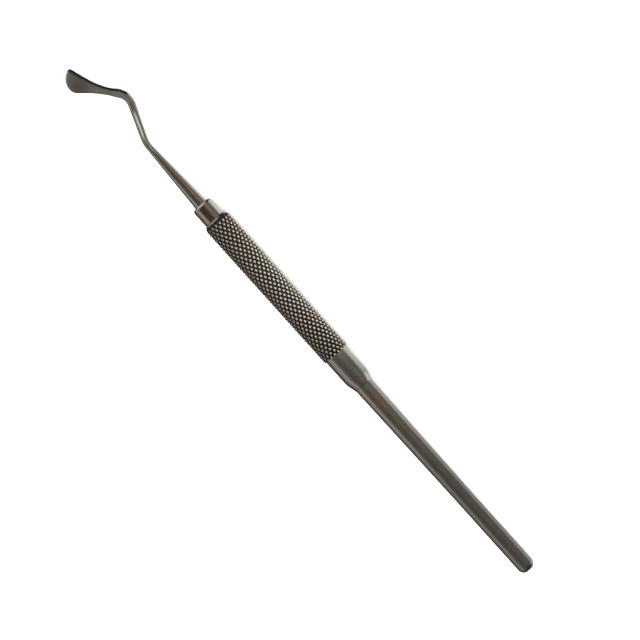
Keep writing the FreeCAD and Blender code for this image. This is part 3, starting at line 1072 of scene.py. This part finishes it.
def curved_card(name, ends, angles, radius, slant=0):
    """A strip bent round the handle's axis: (rear, front) in metres, (first, last) in degrees."""
    first, last = (math.radians(angle) for angle in angles)
    spot = AXIS_POINT + Vector((0, -math.sin(first), math.cos(first))) * radius
    bm = bmesh.new()
    pair = [bm.verts.new(spot + AXIS * x) for x in ends]
    edge = bm.edges.new(pair)
    bmesh.ops.spin(bm, geom=pair + [edge], cent=AXIS_POINT, axis=AXIS, angle=last - first,
                   steps=CARD_STEPS, dvec=AXIS * slant / CARD_STEPS)
    mesh = bpy.data.meshes.new(name)
    bm.to_mesh(mesh)
    bm.free()
    card = bpy.data.objects.new(name, mesh)
    bpy.context.scene.collection.objects.link(card)
    for ray in ("camera", "diffuse", "transmission", "volume_scatter", "shadow"):
        setattr(card, "visible_" + ray, False)
    material = bpy.data.materials.new(name)
    material.use_nodes = True
    mesh.materials.append(material)
    return Shader(material.node_tree)


def glow(shader, colour):
    """Makes a card give off a colour."""
    light = shader.node("ShaderNodeEmission", {}, {"Color": colour, "Strength": 1.0})
    shader.node("ShaderNodeOutputMaterial", {}, {"Surface": light})


def striped_card(name, bands, **place_and_size):
    """A curved card that glows in stripes, by the angle round the handle."""
    shader = curved_card(name, **place_and_size)
    place = shader.node("ShaderNodeTexCoord", {}, {}, out="Object")
    glow(shader, stripes(shader, room_angle(shader, place), bands))


print("a card has", CARD_STEPS, "faces")

# %% [markdown]
# Each pyramid of the knurl turns its sides to different parts of the card round the grip, so it shows
# bright and dim sides, which plain white light wouldn't give. The card is dim overhead and brightest
# just before the underside. The ramp ends at 180 degrees: stops past it are moved back to 180, and the
# part of the card beyond is as dim as the first stop.

# %% The card round the grip
OVER_GRIP = [
    (0, 0.1, SOFT), (20, 0.4, SOFT), (40, 1.2, SOFT), (70, 1.55, SOFT), (100, 1.4, SOFT),
    (130, 1.1, PALE), (150, 1.3, PALE), (175, 3.0, PALE), (200, 4.5, PALE), (215, 2.5, PALE),
]
striped_card("card round the grip", OVER_GRIP, ends=(-10 * MM, 29.5 * MM), angles=(0, 215), radius=25 * MM)
print("the card round the grip has", len(OVER_GRIP), "stops")

# %% [markdown]
# The collar and the shank are smooth, so they show a card as a clean stripe. The collar's card is dark,
# and brown near the top. The shank has a bright card beside it and a dim one below. Both are slanted,
# so each stripe ends at a slant and not square across the bar.

# %% The cards at the collar and the shank
BROWN = (1.0, 0.62, 0.42)
OVER_COLLAR = [
    (-2, 0.09, BROWN), (15, 0.055, BROWN), (45, 0.06, BROWN), (57, 0.12, BROWN), (70, 0.23, WARM),
    (82, 0.24, WARM), (96, 0.17, GREEN), (106, 0.15, GREEN),
]
BESIDE_SHANK = [(12, 0.25, PALE), (22, 0.85, PALE), (54, 0.85, PALE), (62, 0.42, GREEN), (72, 0.36, GREEN)]
BELOW_SHANK = [(-60, 0.25, SOFT), (6, 0.2, SOFT)]
striped_card("card over the collar", OVER_COLLAR,
             ends=(31.8 * MM, 75 * MM), angles=(-2, 106), radius=60 * MM)
striped_card("card beside the shank", BESIDE_SHANK,
             ends=(60 * MM, 66.8 * MM), angles=(12, 72), radius=14 * MM, slant=-4.8 * MM)
striped_card("card below the shank", BELOW_SHANK,
             ends=(77.5 * MM, 86 * MM), angles=(-60, 6), radius=55 * MM, slant=-9.5 * MM)
print("the card over the collar has", len(OVER_COLLAR), "stops")

# %% [markdown]
# The card in front shows the room as it is there, but no brighter than a limit. The limit is low at the
# tail and full at the knurl's rear end, so the long rim of light is dimmer along the tail.

# %% The card in front
IN_FRONT = [(-115, 0.38), (-80, 0.5), (-45, 0.55), (-34, 0.48), (-26, 0.55), (-20, 1.0)]
CARD_REAR = -120 * MM
CARD_FRONT = 110 * MM
shader = curved_card("card in front", ends=(CARD_REAR, CARD_FRONT), angles=(134, 230), radius=400 * MM)
place = shader.node("ShaderNodeTexCoord", {}, {}, out="Object")
profile = stripes(shader, room_angle(shader, place), ROOM)
span = CARD_FRONT - CARD_REAR
along_card = shader.node("ShaderNodeSeparateXYZ", {}, {0: place}, out="X")
limits = [((x * MM - CARD_REAR) / span, (level, level, level)) for x, level in IN_FRONT]
limit = shader.node("ShaderNodeValToRGB", {"stops": limits},
                    {"Fac": (along_card - CARD_REAR) * (1 / span)})
glow(shader, shader.node("ShaderNodeVectorMath", {"operation": "MINIMUM"}, {0: profile, 1: limit}))
print("the card in front is", round(span / MM), "mm long")

# %% [markdown]
# One soft lamp on the camera's side adds plain light to the paper. It is kept out of reflections, so it
# does next to nothing to the steel. The picture's colours are shown as they are, with the Standard view,
# because the default view would turn the white paper grey.

# %% Key light
def soft_light(name, direction, distance, size, power):
    """A large square light that faces the object."""
    data = bpy.data.lights.new(name, "AREA")
    data.size = size
    data.energy = power
    light = bpy.data.objects.new(name, data)
    bpy.context.scene.collection.objects.link(light)
    direction = Vector(direction).normalized()
    light.location = direction * distance
    light.rotation_mode = "QUATERNION"
    light.rotation_quaternion = direction.to_track_quat("Z", "Y")
    light.visible_glossy = False
    return light


key = soft_light("key", TOWARDS_CAMERA, distance=1.2, size=0.8, power=12)
print("key light", round(key.location.length, 2), "m away")
bpy.context.scene.view_settings.view_transform = "Standard"
